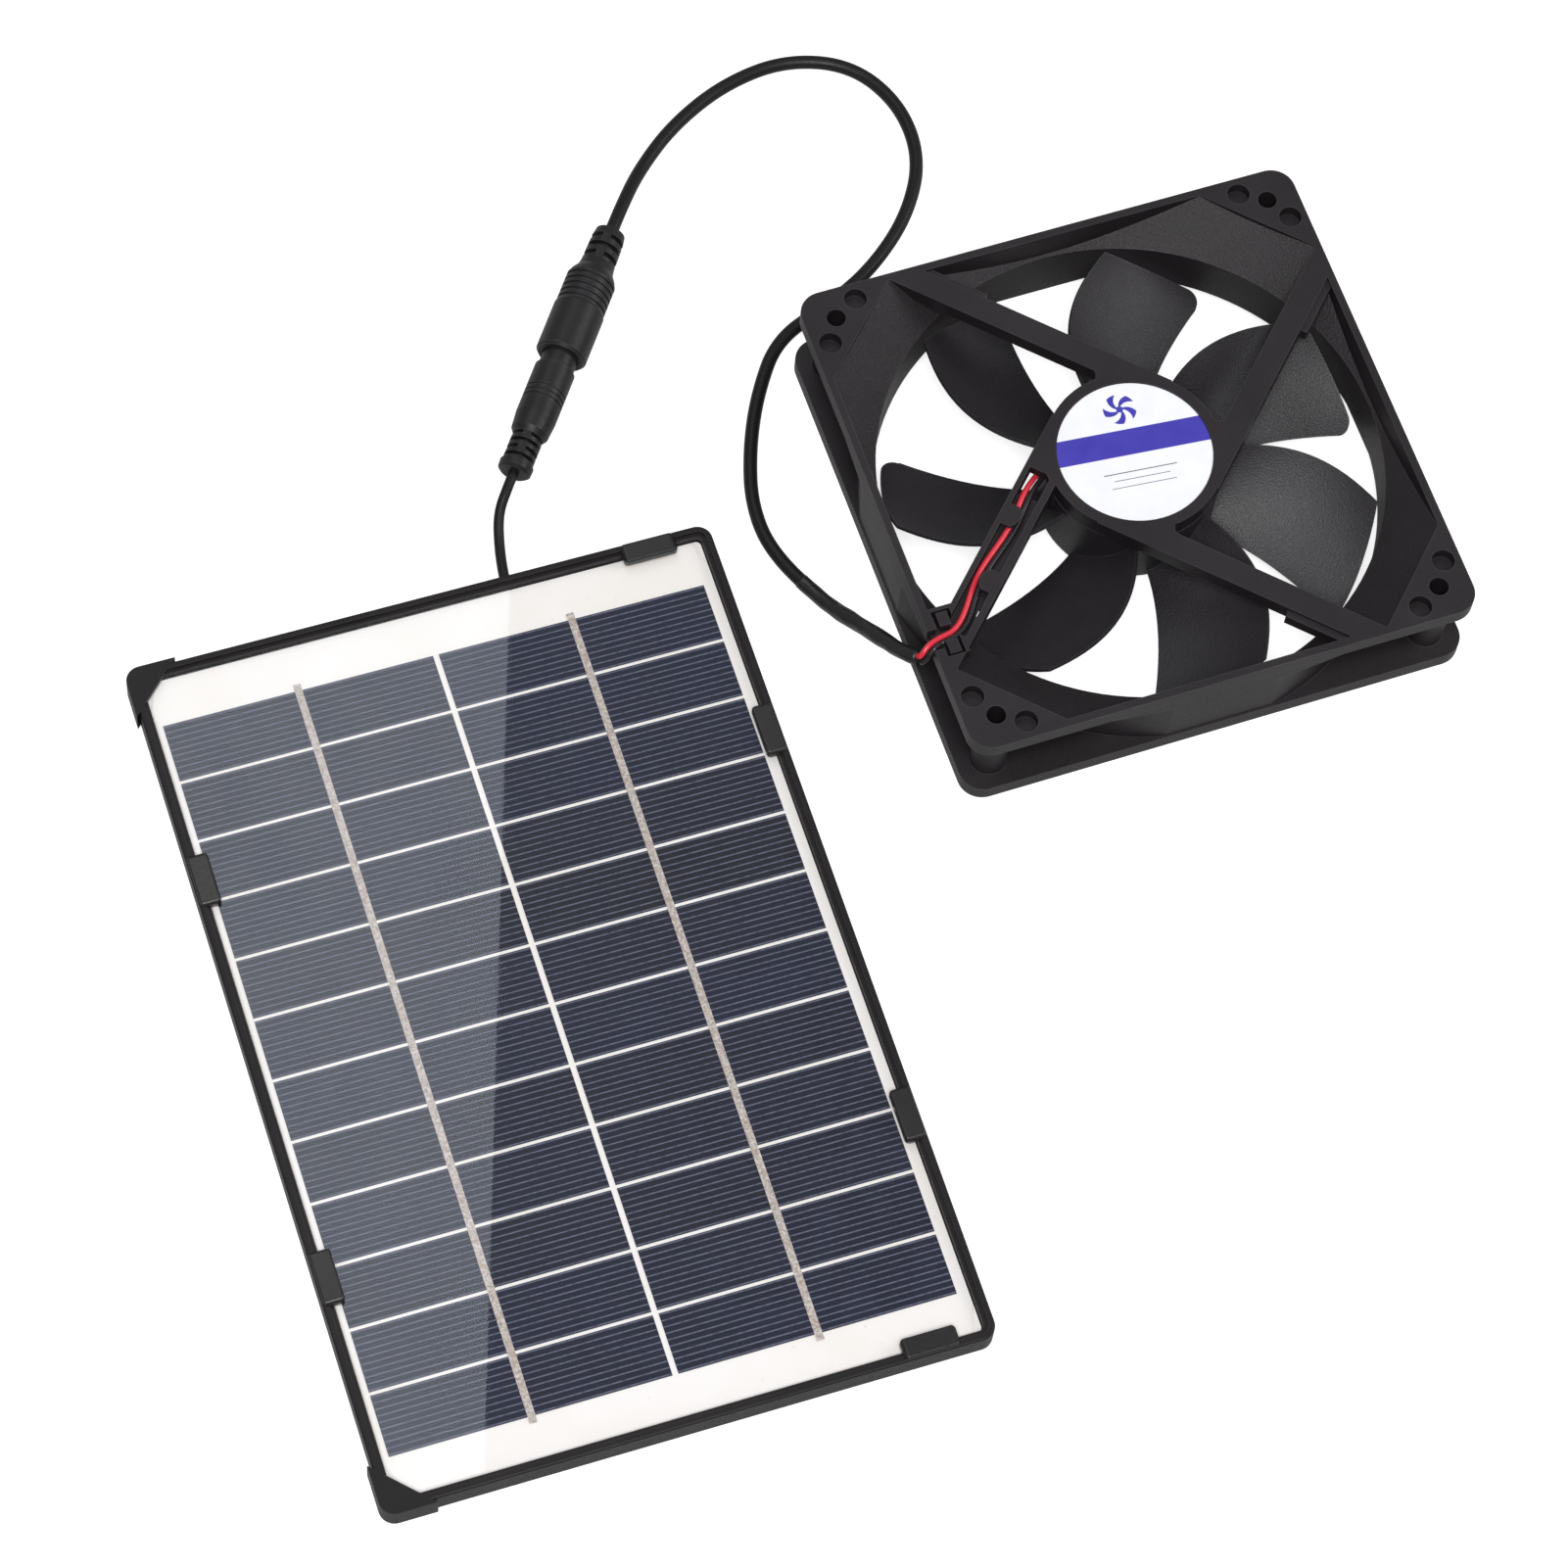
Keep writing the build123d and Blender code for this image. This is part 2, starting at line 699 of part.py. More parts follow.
# ================================================================ solar panel
panel = Pos(panel_centre[0], panel_centre[1], 0) * Rot(0, 0, panel_turn)
cover_top = panel_height - rim_above_cover
cover_low = cover_top - cover_thickness
cell_low = cover_low - encapsulant_thickness
backsheet_low = cell_low - backsheet_thickness
pocket_width = panel_width - 2 * frame_wall
pocket_length = panel_length - 2 * frame_wall
laminate_width = pocket_width - 2 * laminate_gap
laminate_length = pocket_length - 2 * laminate_gap
cell_width = (cell_block_width - column_gap * (cell_columns - 1)) / cell_columns
cell_pitch = (cell_block_length + cell_gap) / cell_rows
cell_height = cell_pitch - cell_gap
junction_x = 19.6
junction_y = panel_length / 2 - junction_from_top


def column_centre(column):
    return cell_block_shift[0] + (column - (cell_columns - 1) / 2) * (cell_width + column_gap)


def row_centre(row):
    return cell_block_shift[1] + (row - (cell_rows - 1) / 2) * cell_pitch


def laminate_sheet(low, high):
    return rounded_plate(laminate_width, laminate_length, 1.2, low, high)


def make_cells():
    return [
        block(
            column_centre(column) - cell_width / 2,
            column_centre(column) + cell_width / 2,
            row_centre(row) - cell_height / 2,
            row_centre(row) + cell_height / 2,
            cell_low,
            cell_low + cell_thickness,
        )
        for column in range(cell_columns)
        for row in range(cell_rows)
    ]


def make_ribbons():
    reach = cell_block_length / 2 + ribbon_overrun
    low = cell_low + cell_thickness
    return [
        block(
            column_centre(column) - ribbon_width / 2,
            column_centre(column) + ribbon_width / 2,
            cell_block_shift[1] - reach,
            cell_block_shift[1] + reach,
            low,
            low + ribbon_thickness,
        )
        for column in range(cell_columns)
    ]


def corner_cap(side):
    """A moulded triangle at a left-hand corner: it wraps round both rails and holds the sheet down."""
    x = -panel_width / 2 - cap_proud
    y = side * (panel_length / 2 + cap_proud)
    leg = corner_cap_leg + cap_proud
    wedge = extrude(make_face(Polyline((x, y), (x + leg, y), (x, y - side * leg), close=True)), panel_height)
    cap = rounded_plate(
        panel_width + 2 * cap_proud, panel_length + 2 * cap_proud, panel_corner_radius, cap_lift, panel_height
    )
    return wedge & (cap - rounded_plate(pocket_width, pocket_length, 1.4, 0, cover_top))


def make_frame():
    body = rounded_plate(panel_width, panel_length, panel_corner_radius, 0, panel_height)
    body = chamfer(body.faces().sort_by(Axis.Z)[0].edges(), 0.8)
    body = fillet(body.faces().sort_by(Axis.Z)[-1].edges(), 0.5)
    body -= rounded_plate(pocket_width, pocket_length, 1.4, backsheet_low, panel_height + 1)
    step = 1.8
    body -= rounded_plate(pocket_width + step, pocket_length + step, 1.8, panel_height - 0.8, panel_height + 1)
    ledge_low = backsheet_low - frame_ledge_thickness
    body -= rounded_plate(pocket_width, pocket_length, 1.4, -1, ledge_low)
    opening_width = pocket_width - 2 * frame_ledge
    opening_length = pocket_length - 2 * frame_ledge
    body -= rounded_plate(opening_width, opening_length, 2.0, -1, panel_height)
    for side in (-1, 1):
        body += corner_cap(side)
    entry = panel_cable_diameter / 2 + 0.3
    notch = block(junction_x - entry, junction_x + entry + 0.6, panel_length / 2 - 9, panel_length / 2 + 1, -1, 3.1)
    return body - notch


def edge_clip():
    """A snap-on clip for a right-hand side at the origin: over the rim and down on the sheet."""
    reach = frame_wall + clip_overhang
    body = block(-reach, -0.3, -clip_length / 2, clip_length / 2, cover_top, panel_height + 0.9)
    body = fillet(body.edges().filter_by(Axis.Y).group_by(Axis.Z)[-1], 0.5)
    body = fillet(body.edges().filter_by(Axis.Z).group_by(Axis.X)[0], 1.0)
    return body - block(-frame_wall - 0.02, 1, -clip_length, clip_length, 0, panel_height)


def make_clips():
    clip = edge_clip()
    x = panel_width / 2
    y = panel_length / 2
    places = [(x, side * clip_side_position, 0) for side in (-1, 1)]
    places += [(-x, side * clip_side_position, 180) for side in (-1, 1)]
    places += [(clip_end_position, y, 90), (clip_end_position, -y, -90)]
    return [s for px, py, turn in places for s in (Pos(px, py, 0) * Rot(0, 0, turn) * clip).solids()]


def make_junction_cover():
    low = 0.2
    outer = Pos(junction_x, junction_y, low) * extrude(
        RectangleRounded(junction_width, junction_length, 3.0), backsheet_low - low
    )
    inner = Pos(junction_x, junction_y, low + 0.6) * extrude(
        RectangleRounded(junction_width - 2 * junction_wall, junction_length - 2 * junction_wall, 2.0), 10
    )
    return outer - inner


terminal_places = [(junction_x + side * 8.0, junction_y) for side in (-1, 1)]


def make_terminals():
    pads = []
    for x, y in terminal_places:
        pad = block(x - 2.2, x + 2.2, y - 1.4, y + 1.4, backsheet_low - 0.3, backsheet_low)
        pads.append(pad + cylinder(0.8, backsheet_low - 0.1, cell_low, x, y))
    return pads


# ================================================================ build and write everything
write("fan_housing", make_housing())
write("hub_label", cylinder(label_radius - 0.1, tube_top, tube_top + label_thickness))
write("bearing_tube", ring(tube_outer_radius, tube_bore_radius, tube_bottom, tube_top))
write("sleeve_bearing", ring(tube_bore_radius, shaft_radius + running_clearance, bearing_low, bearing_top))
write("oil_washer", ring(tube_bore_radius, shaft_radius + 0.25, tube_bottom + 0.2, bearing_low))
write("bearing_cap", cylinder(tube_bore_radius, tube_top - 2.0, tube_top))
write("stator_core", make_stator_core())
write("stator_insulators", make_insulators())
write("stator_windings", make_windings())
write("circuit_board", ring(board_radius, tube_outer_radius, board_low, board_top))
write("hall_sensor", Rot(0, 0, 45) * block(11.0, 12.6, -2.0, 2.0, board_low - 1.8, board_low))
write("drive_chip", block(6.5, 11.5, -3.0, 3.0, board_top, board_top + 1.3))
write("chip_capacitors", [block(-2, 1.2, y, y + 1.6, board_top, board_top + 1.0) for y in (7.5, 10.5)])

write("impeller", make_impeller())
write("rotor_yoke", make_yoke())
magnet_radius = rotor_wall_radius - yoke_thickness
magnet_low = rotor_bottom + rotor_face + 3.2
write("magnet_ring", ring(magnet_radius, magnet_radius - magnet_thickness, magnet_low, magnet_low + magnet_height))
write("rotor_shaft", make_shaft())
write("retaining_ring", ring(shaft_radius + 0.9, shaft_radius - 0.4, bearing_top + 0.5, bearing_top + 0.9))

write("lead_red", make_lead(0.0, red_lead_outer))
write("lead_black", make_lead(-lead_spacing, black_lead_outer))
write("heat_shrink_sleeve", route(sleeve_points, sleeve_diameter, "heat_shrink_sleeve"))
write("fan_cable", route(fan_cable_points, fan_cable_diameter, "fan_cable"))
panel_cable = route(panel_cable_points, panel_cable_diameter, "panel_cable")
write("panel_cable", panel_cable)

insulator_start = mouth_floor - insulator_length
barrel_tip = plug_face - barrel_length
write("jack_housing", connector * make_jack_housing())
write("jack_insulator", connector * make_jack_insulator())
contact = along_x(contact_radius + 0.35, insulator_start + 2.0, mouth_floor - 0.3)
write("jack_contact", connector * (contact - along_x(contact_radius, insulator_start, jack_length)))
write("jack_pin", connector * along_x(pin_radius, insulator_start, mouth_floor - 1.2))
write("plug_body", connector * make_plug_body())
barrel = along_x(barrel_radius, barrel_tip, plug_face + 6.0)
write("plug_barrel", connector * (barrel - along_x(barrel_radius - barrel_wall, 0, plug_end)))
bush = along_x(barrel_radius - barrel_wall, barrel_tip + 0.3, plug_face + 6.0)
write("plug_insulator", connector * (bush - along_x(pin_radius + pin_clearance + 0.4, 0, plug_end)))
socket = along_x(pin_radius + pin_clearance + 0.4, barrel_tip + 0.6, plug_face + 6.0)
write("plug_socket", connector * (socket - along_x(pin_radius + pin_clearance, 0, plug_face + 4.0)))

write("panel_frame", panel * make_frame())
write("panel_clips", [panel * clip for clip in make_clips()])
cells = make_cells()
ribbons = make_ribbons()
backsheet = laminate_sheet(backsheet_low, cell_low)
for x, y in terminal_places:
    backsheet -= cylinder(0.8, 0, cell_low + 1, x, y)
encapsulant = laminate_sheet(cell_low, cover_low)
for piece in cells + ribbons:
    encapsulant -= piece
write("backsheet", panel * backsheet)
write("encapsulant", panel * encapsulant)
write("solar_cells", [panel * cell for cell in cells])
write("cell_ribbons", [panel * ribbon for ribbon in ribbons])
write("front_cover", panel * laminate_sheet(cover_low, cover_top))
write("junction_cover", (panel * make_junction_cover()) - panel_cable)
write("terminal_tabs", [panel * tab for tab in make_terminals()])
diode = block(junction_x - 2.6, junction_x + 2.6, junction_y - 4.5, junction_y - 1.9, 0.8, 3.0)
write("blocking_diode", panel * diode)
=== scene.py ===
from math import pi, radians

import bpy
import numpy as np
from mathutils import Matrix, Vector


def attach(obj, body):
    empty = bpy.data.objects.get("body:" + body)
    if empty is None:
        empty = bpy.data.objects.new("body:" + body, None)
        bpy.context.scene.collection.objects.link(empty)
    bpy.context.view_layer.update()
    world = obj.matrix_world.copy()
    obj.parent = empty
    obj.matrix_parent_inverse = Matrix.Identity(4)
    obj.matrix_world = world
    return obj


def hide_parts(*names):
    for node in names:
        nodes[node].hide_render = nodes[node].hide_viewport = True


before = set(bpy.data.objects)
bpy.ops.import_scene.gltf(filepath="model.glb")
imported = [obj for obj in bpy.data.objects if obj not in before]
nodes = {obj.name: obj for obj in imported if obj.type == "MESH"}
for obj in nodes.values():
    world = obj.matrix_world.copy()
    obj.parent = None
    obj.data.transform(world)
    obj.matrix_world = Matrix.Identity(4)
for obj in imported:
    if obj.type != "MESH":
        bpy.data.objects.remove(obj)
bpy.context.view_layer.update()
scene = bpy.context.scene
print("frame loaded,", len(nodes), "nodes")

# Where the fan's cord, the sleeve and the panel's cord run, in metres.
fanCord = dict(diameter=0.0032, length=0.2429, points=[
    (-0.09, 0.0994, 0.006), (-0.08513, 0.10575, 0.006), (-0.0772, 0.1159, 0.0026),
    (-0.0655, 0.1258, 0.0016), (-0.0505, 0.1329, 0.0016), (-0.0345, 0.135, 0.0016),
    (-0.02, 0.129, 0.0016), (-0.0128, 0.1155, 0.0016), (-0.0132, 0.1, 0.0016),
    (-0.0215, 0.086, 0.0016), (-0.034, 0.0752, 0.0016), (-0.0465, 0.0689, 0.0016),
    (-0.0613, 0.0639, 0.0016), (-0.0704, 0.0515, 0.0016), (-0.0768, 0.0385, 0.0016),
    (-0.0812, 0.0245, 0.0016), (-0.08086, 0.01124, 0.00174), (-0.0769, 0.0026, 0.00198)])
sleeve = dict(radius=0.00195, shrunk=0.0002, swell=0.00012, ripple=0.00004,
              lumps=(0.36, 0.66), lumpWidth=0.09, rows=90, sides=40, points=[
    (-0.0769, 0.0026, 0.00198), (-0.0736, -0.0046, 0.0022), (-0.0702, -0.013, 0.007),
    (-0.0672, -0.022, 0.0134), (-0.065, -0.0288, 0.0179), (-0.0628, -0.032, 0.02)])
panelCord = dict(diameter=0.0024, length=0.0438, exit=(-0.1404, 0.0233, 0.0016), points=[
    (-0.13079, 0.04624, 0.006), (-0.13323, 0.04307, 0.006), (-0.1369, 0.0385, 0.0039),
    (-0.1389, 0.0315, 0.0016), (-0.1404, 0.0233, 0.0016), (-0.1408, 0.0143, 0.0016),
    (-0.1412, 0.00557, 0.0016)])
panel = dict(centre=(-0.1626, -0.0793, 0.0), turn=radians(-1.2))

# The camera: where it stands and which way its right, down and depth run.
view = dict(place=(-0.33804, -0.54041, 1.12928), lens=130.37, sensor=36.0,
            right=(0.94261526, -0.32908712, 0.05637504), down=(-0.27330897, -0.85751373, -0.43585824),
            ahead=(0.1917777, 0.39543883, -0.89824799))
cameraData = bpy.data.cameras.new("camera")
cameraData.lens = view["lens"]
cameraData.sensor_width = view["sensor"]
cameraData.clip_start = 0.05
cameraData.clip_end = 20
camera = bpy.data.objects.new("camera", cameraData)
axes = np.array([view["right"], -np.array(view["down"]), -np.array(view["ahead"])]).T
camera.matrix_world = Matrix.Translation(view["place"]) @ Matrix(axes.tolist()).to_4x4()
scene.collection.objects.link(camera)
scene.camera = camera


# Links an output to the socket, or sets a plain value on it.
def feed(tree, socket, value):
    if isinstance(value, bpy.types.NodeSocket):
        tree.links.new(value, socket)
    else:
        socket.default_value = value


# A node of that kind with its settings; sockets gives values or the outputs that feed it.
def put(tree, kind, sockets=None, **settings):
    node = tree.nodes.new(kind)
    for name, value in settings.items():
        setattr(node, name, value)
    for name, value in (sockets or {}).items():
        feed(tree, node.inputs[name], value)
    return node


# The value from low..high laid onto newLow..newHigh and held there.
def ramp(tree, value, low, high, newLow=0.0, newHigh=1.0):
    node = put(tree, "ShaderNodeMapRange", {"Value": value, "From Min": low, "From Max": high,
                                            "To Min": newLow, "To Max": newHigh})
    return node.outputs["Result"]


def calc(tree, operation, first, second=0.0, third=0.0):
    return put(tree, "ShaderNodeMath", {0: first, 1: second, 2: third}, operation=operation).outputs[0]


def mixColours(tree, factor, first, second):
    return put(tree, "ShaderNodeMix", {0: factor, 6: first, 7: second}, data_type="RGBA").outputs[2]


def noise(tree, place, scale, detail=2.0, rough=0.5):
    return put(tree, "ShaderNodeTexNoise", {"Vector": place, "Scale": scale, "Detail": detail,
                                            "Roughness": rough}).outputs[0]


# An empty shader group; given is [(socket name, kind, default)] and made [(socket name, kind)].
def newGroup(name, given, made):
    group = bpy.data.node_groups.new(name, "ShaderNodeTree")
    for label, kind, value in given:
        socket = group.interface.new_socket(label, in_out="INPUT", socket_type="NodeSocket" + kind)
        socket.default_value = value
    for label, kind in made:
        group.interface.new_socket(label, in_out="OUTPUT", socket_type="NodeSocket" + kind)
    return group, group.nodes.new("NodeGroupInput").outputs, group.nodes.new("NodeGroupOutput").inputs


# An sRGB colour, 0 to 255 each, as the linear one that a shader takes.
def colour(red, green, blue):
    parts = np.array((red, green, blue)) / 255
    linear = np.where(parts <= 0.04045, parts / 12.92, ((parts + 0.055) / 1.055) ** 2.4)
    return (*[float(part) for part in linear], 1.0)


# Spark-eroded plastic: fine pits, broad tone changes, and a painted highlight that makes the edges paler.
def makeMouldedGroup():
    group, given, made = newGroup(
        "mouldedSkin",
        [("Base", "Color", (0.03, 0.03, 0.03, 1)), ("Tone and highlight", "Color", (0.1, 0.1, 0.1, 1)),
         ("Pits per metre", "Float", 2600.0), ("Roughness", "Float", 0.5), ("Edge", "Float", 0.0004),
         ("Eroded slopes", "Float", 0.0)],
        [("Color", "Color"), ("Roughness", "Float"), ("Height", "Float")])
    place = put(group, "ShaderNodeTexCoord").outputs["Object"]
    pits = noise(group, place, given["Pits per metre"], 3.0, 0.6)
    broad = noise(group, place, 45.0, 3.0, 0.55)
    rounded = put(group, "ShaderNodeBevel", {"Radius": given["Edge"]}, samples=4).outputs[0]
    flat = put(group, "ShaderNodeNewGeometry").outputs["Normal"]
    same = put(group, "ShaderNodeVectorMath", {0: rounded, 1: flat}, operation="DOT_PRODUCT")
    edge = ramp(group, same.outputs["Value"], 0.995, 0.9)
    # Painted highlight: the bevel edge mask, varied by the broad noise, mixes the pale colour in along every
    # edge.
    paintedEdgeHighlight = calc(group, "MULTIPLY", edge, ramp(group, broad, 0.35, 0.65, 0.45, 1.0))
    toned = mixColours(group, ramp(group, broad, 0.3, 0.7, 0.0, 0.14), given["Base"], given["Tone and highlight"])
    group.links.new(mixColours(group, paintedEdgeHighlight, toned, given["Tone and highlight"]), made["Color"])
    rough = calc(group, "ADD", given["Roughness"], ramp(group, pits, 0.3, 0.7, -0.07, 0.07))
    group.links.new(calc(group, "SUBTRACT", rough, calc(group, "MULTIPLY", edge, 0.08)), made["Roughness"])
    # Sloping faces keep the mould's eroded grain; level and upright ones are smoother.
    tilt = calc(group, "ABSOLUTE", put(group, "ShaderNodeSeparateXYZ", {0: flat}).outputs[2])
    sloping = calc(group, "MULTIPLY", ramp(group, tilt, 0.12, 0.3), ramp(group, tilt, 0.99, 0.96))
    deeper = calc(group, "MULTIPLY_ADD", calc(group, "MULTIPLY", sloping, given["Eroded slopes"]), 4.0, 1.0)
    group.links.new(calc(group, "MULTIPLY", pits, deeper), made["Height"])
    return group


# Turned or stamped metal: fine streaks round Z and stains.
def makeMetalGroup():
    group, given, made = newGroup(
        "workedMetal",
        [("Base", "Color", (0.6, 0.6, 0.6, 1)), ("Stain", "Color", (0.3, 0.3, 0.3, 1)),
         ("Roughness", "Float", 0.3), ("Streaks per metre", "Float", 3000.0)],
        [("Color", "Color"), ("Roughness", "Float"), ("Height", "Float")])
    place = put(group, "ShaderNodeTexCoord").outputs["Object"]
    drawn = put(group, "ShaderNodeMapping", {"Vector": place, "Scale": (1.0, 1.0, 6.0)}).outputs[0]
    streaks = noise(group, drawn, given["Streaks per metre"], 2.0, 0.6)
    stains = noise(group, place, 260.0, 4.0, 0.6)
    stained = ramp(group, stains, 0.45, 0.75, 0.0, 0.6)
    group.links.new(mixColours(group, stained, given["Base"], given["Stain"]), made["Color"])
    group.links.new(calc(group, "ADD", given["Roughness"], ramp(group, streaks, 0.3, 0.7, -0.08, 0.1)),
                    made["Roughness"])
    group.links.new(streaks, made["Height"])
    return group


mouldedSkin = makeMouldedGroup()
workedMetal = makeMetalGroup()
print("finish groups made")


# A Principled material with those plain socket values; gives the tree, the shader and the material.
def newMaterial(name, **fixed):
    material = bpy.data.materials.new(name)
    material.use_nodes = True
    tree = material.node_tree
    shader = tree.nodes["Principled BSDF"]
    for label, value in fixed.items():
        shader.inputs[label.replace("_", " ")].default_value = value
    return tree, shader, material


def groupNode(tree, group, sockets):
    node = tree.nodes.new("ShaderNodeGroup")
    node.node_tree = group
    for name, value in sockets.items():
        feed(tree, node.inputs[name], value)
    return node.outputs


def bumpFrom(tree, shader, height, depth, strength=1.0):
    bump = put(tree, "ShaderNodeBump", {"Height": height, "Distance": depth, "Strength": strength})
    tree.links.new(bump.outputs[0], shader.inputs["Normal"])


def mouldedPlastic(name, base, rubbed, roughness, pits, depth, edge=0.0004, eroded=0.0, **fixed):
    tree, shader, material = newMaterial(name, **fixed)
    skin = groupNode(tree, mouldedSkin, {"Base": colour(*base), "Tone and highlight": colour(*rubbed),
                                         "Roughness": roughness, "Pits per metre": pits,
                                         "Edge": edge, "Eroded slopes": eroded})
    tree.links.new(skin["Color"], shader.inputs["Base Color"])
    tree.links.new(skin["Roughness"], shader.inputs["Roughness"])
    bumpFrom(tree, shader, skin["Height"], depth)
    return material


def metal(name, base, stain, roughness, streaks=3000.0, **fixed):
    tree, shader, material = newMaterial(name, Metallic=1.0, **fixed)
    skin = groupNode(tree, workedMetal, {"Base": colour(*base), "Stain": colour(*stain),
                                         "Roughness": roughness, "Streaks per metre": streaks})
    tree.links.new(skin["Color"], shader.inputs["Base Color"])
    tree.links.new(skin["Roughness"], shader.inputs["Roughness"])
    bumpFrom(tree, shader, skin["Height"], 0.00002)
    return material


# Colours are sRGB, 0 to 255; the second colour is both the broad random tone and the painted edge highlight;
# pits are per metre; depth of the pits and width of the painted edge highlight in metres.
plasticLooks = dict(
    housingPlastic=dict(base=(25, 21, 24), rubbed=(66, 60, 65), roughness=0.5, pits=2100.0, depth=0.00004,
                        eroded=1.0, Specular_IOR_Level=0.36),
    impellerPlastic=dict(base=(29, 26, 30), rubbed=(66, 62, 67), roughness=0.47, pits=2300.0, depth=0.00003,
                         eroded=0.8),
    framePlastic=dict(base=(18, 15, 17), rubbed=(50, 45, 47), roughness=0.46, pits=1800.0, depth=0.00002,
                      Specular_IOR_Level=0.28),
    clipPlastic=dict(base=(17, 15, 15), rubbed=(66, 62, 62), roughness=0.34, pits=1500.0, depth=0.00001),
    cordRubber=dict(base=(19, 18, 19), rubbed=(42, 40, 42), roughness=0.44, pits=1500.0, depth=0.00002,
                    edge=0.0001, Specular_IOR_Level=0.25),
    connectorRubber=dict(base=(18, 16, 18), rubbed=(58, 55, 58), roughness=0.46, pits=1300.0, depth=0.00005,
                         Specular_IOR_Level=0.38),
    shrinkTube=dict(base=(22, 21, 22), rubbed=(56, 54, 56), roughness=0.36, pits=900.0, depth=0.00005,
                    edge=0.0001),
    redInsulation=dict(base=(205, 40, 58), rubbed=(240, 110, 120), roughness=0.26, pits=1200.0,
                       depth=0.00001, edge=0.0001),
    blackInsulation=dict(base=(28, 28, 30), rubbed=(60, 60, 64), roughness=0.26, pits=1200.0, depth=0.00001,
                         edge=0.0001),
    nylon=dict(base=(216, 212, 200), rubbed=(238, 236, 228), roughness=0.45, pits=1500.0, depth=0.00001),
    chipResin=dict(base=(34, 34, 36), rubbed=(90, 90, 92), roughness=0.5, pits=3000.0, depth=0.00002,
                   edge=0.0002),
    ferrite=dict(base=(60, 56, 55), rubbed=(100, 95, 93), roughness=0.6, pits=2500.0, depth=0.00003),
    sealRubber=dict(base=(30, 30, 30), rubbed=(62, 62, 62), roughness=0.6, pits=1800.0, depth=0.00002),
    boardResin=dict(base=(22, 92, 48), rubbed=(70, 140, 90), roughness=0.3, pits=900.0, depth=0.00001,
                    edge=0.0002))
metalLooks = dict(
    brass=dict(base=(214, 178, 104), stain=(150, 112, 60), roughness=0.3),
    bronze=dict(base=(180, 138, 88), stain=(110, 80, 52), roughness=0.42, streaks=1800.0),
    platedMetal=dict(base=(205, 204, 200), stain=(150, 148, 142), roughness=0.22),
    coreSteel=dict(base=(150, 150, 153), stain=(92, 88, 86), roughness=0.4, streaks=2000.0),
    yokeSteel=dict(base=(178, 179, 182), stain=(120, 120, 122), roughness=0.35),
    shaftSteel=dict(base=(200, 200, 202), stain=(160, 160, 162), roughness=0.2),
    copperWire=dict(base=(196, 108, 58), stain=(130, 60, 30), roughness=0.32, streaks=3500.0))
finishes = {name: mouldedPlastic(name, **look) for name, look in plasticLooks.items()}
finishes.update({name: metal(name, **look) for name, look in metalLooks.items()})


# Laminated white foil: slightly warm, with faint fibres and a few dust specks.
def makeWhiteSheet():
    tree, shader, material = newMaterial("whiteSheet", Specular_IOR_Level=0.3)
    place = put(tree, "ShaderNodeTexCoord").outputs["Object"]
    cloud = noise(tree, place, 22.0, 4.0, 0.6)
    fibre = noise(tree, place, 1400.0, 2.0, 0.6)
    speck = ramp(tree, noise(tree, place, 620.0, 1.0, 0.4), 0.76, 0.8)
    clean = mixColours(tree, ramp(tree, cloud, 0.35, 0.65), colour(233, 230, 229), colour(227, 223, 218))
    toned = mixColours(tree, calc(tree, "MULTIPLY", speck, 0.35), clean, colour(196, 188, 178))
    tree.links.new(toned, shader.inputs["Base Color"])
    tree.links.new(ramp(tree, fibre, 0.3, 0.7, 0.42, 0.56), shader.inputs["Roughness"])
    bumpFrom(tree, shader, fibre, 0.00001)
    return material


# Object coordinates turned and moved so that the panel's centre is the origin, X across it.
def onPanel(tree):
    place = put(tree, "ShaderNodeTexCoord").outputs["Object"]
    mapping = put(tree, "ShaderNodeMapping", {"Vector": place, "Location": panel["centre"],
                                              "Rotation": (0.0, 0.0, panel["turn"])}, vector_type="TEXTURE")
    return mapping.outputs[0]


# Centre of the block of cells and the pitch of its rows in metres; fingers are counted per row.
cellLook = dict(centreX=-0.0005, centreY=-0.0007, pitchY=0.01478, fingers=10.0, fingerShare=0.13)


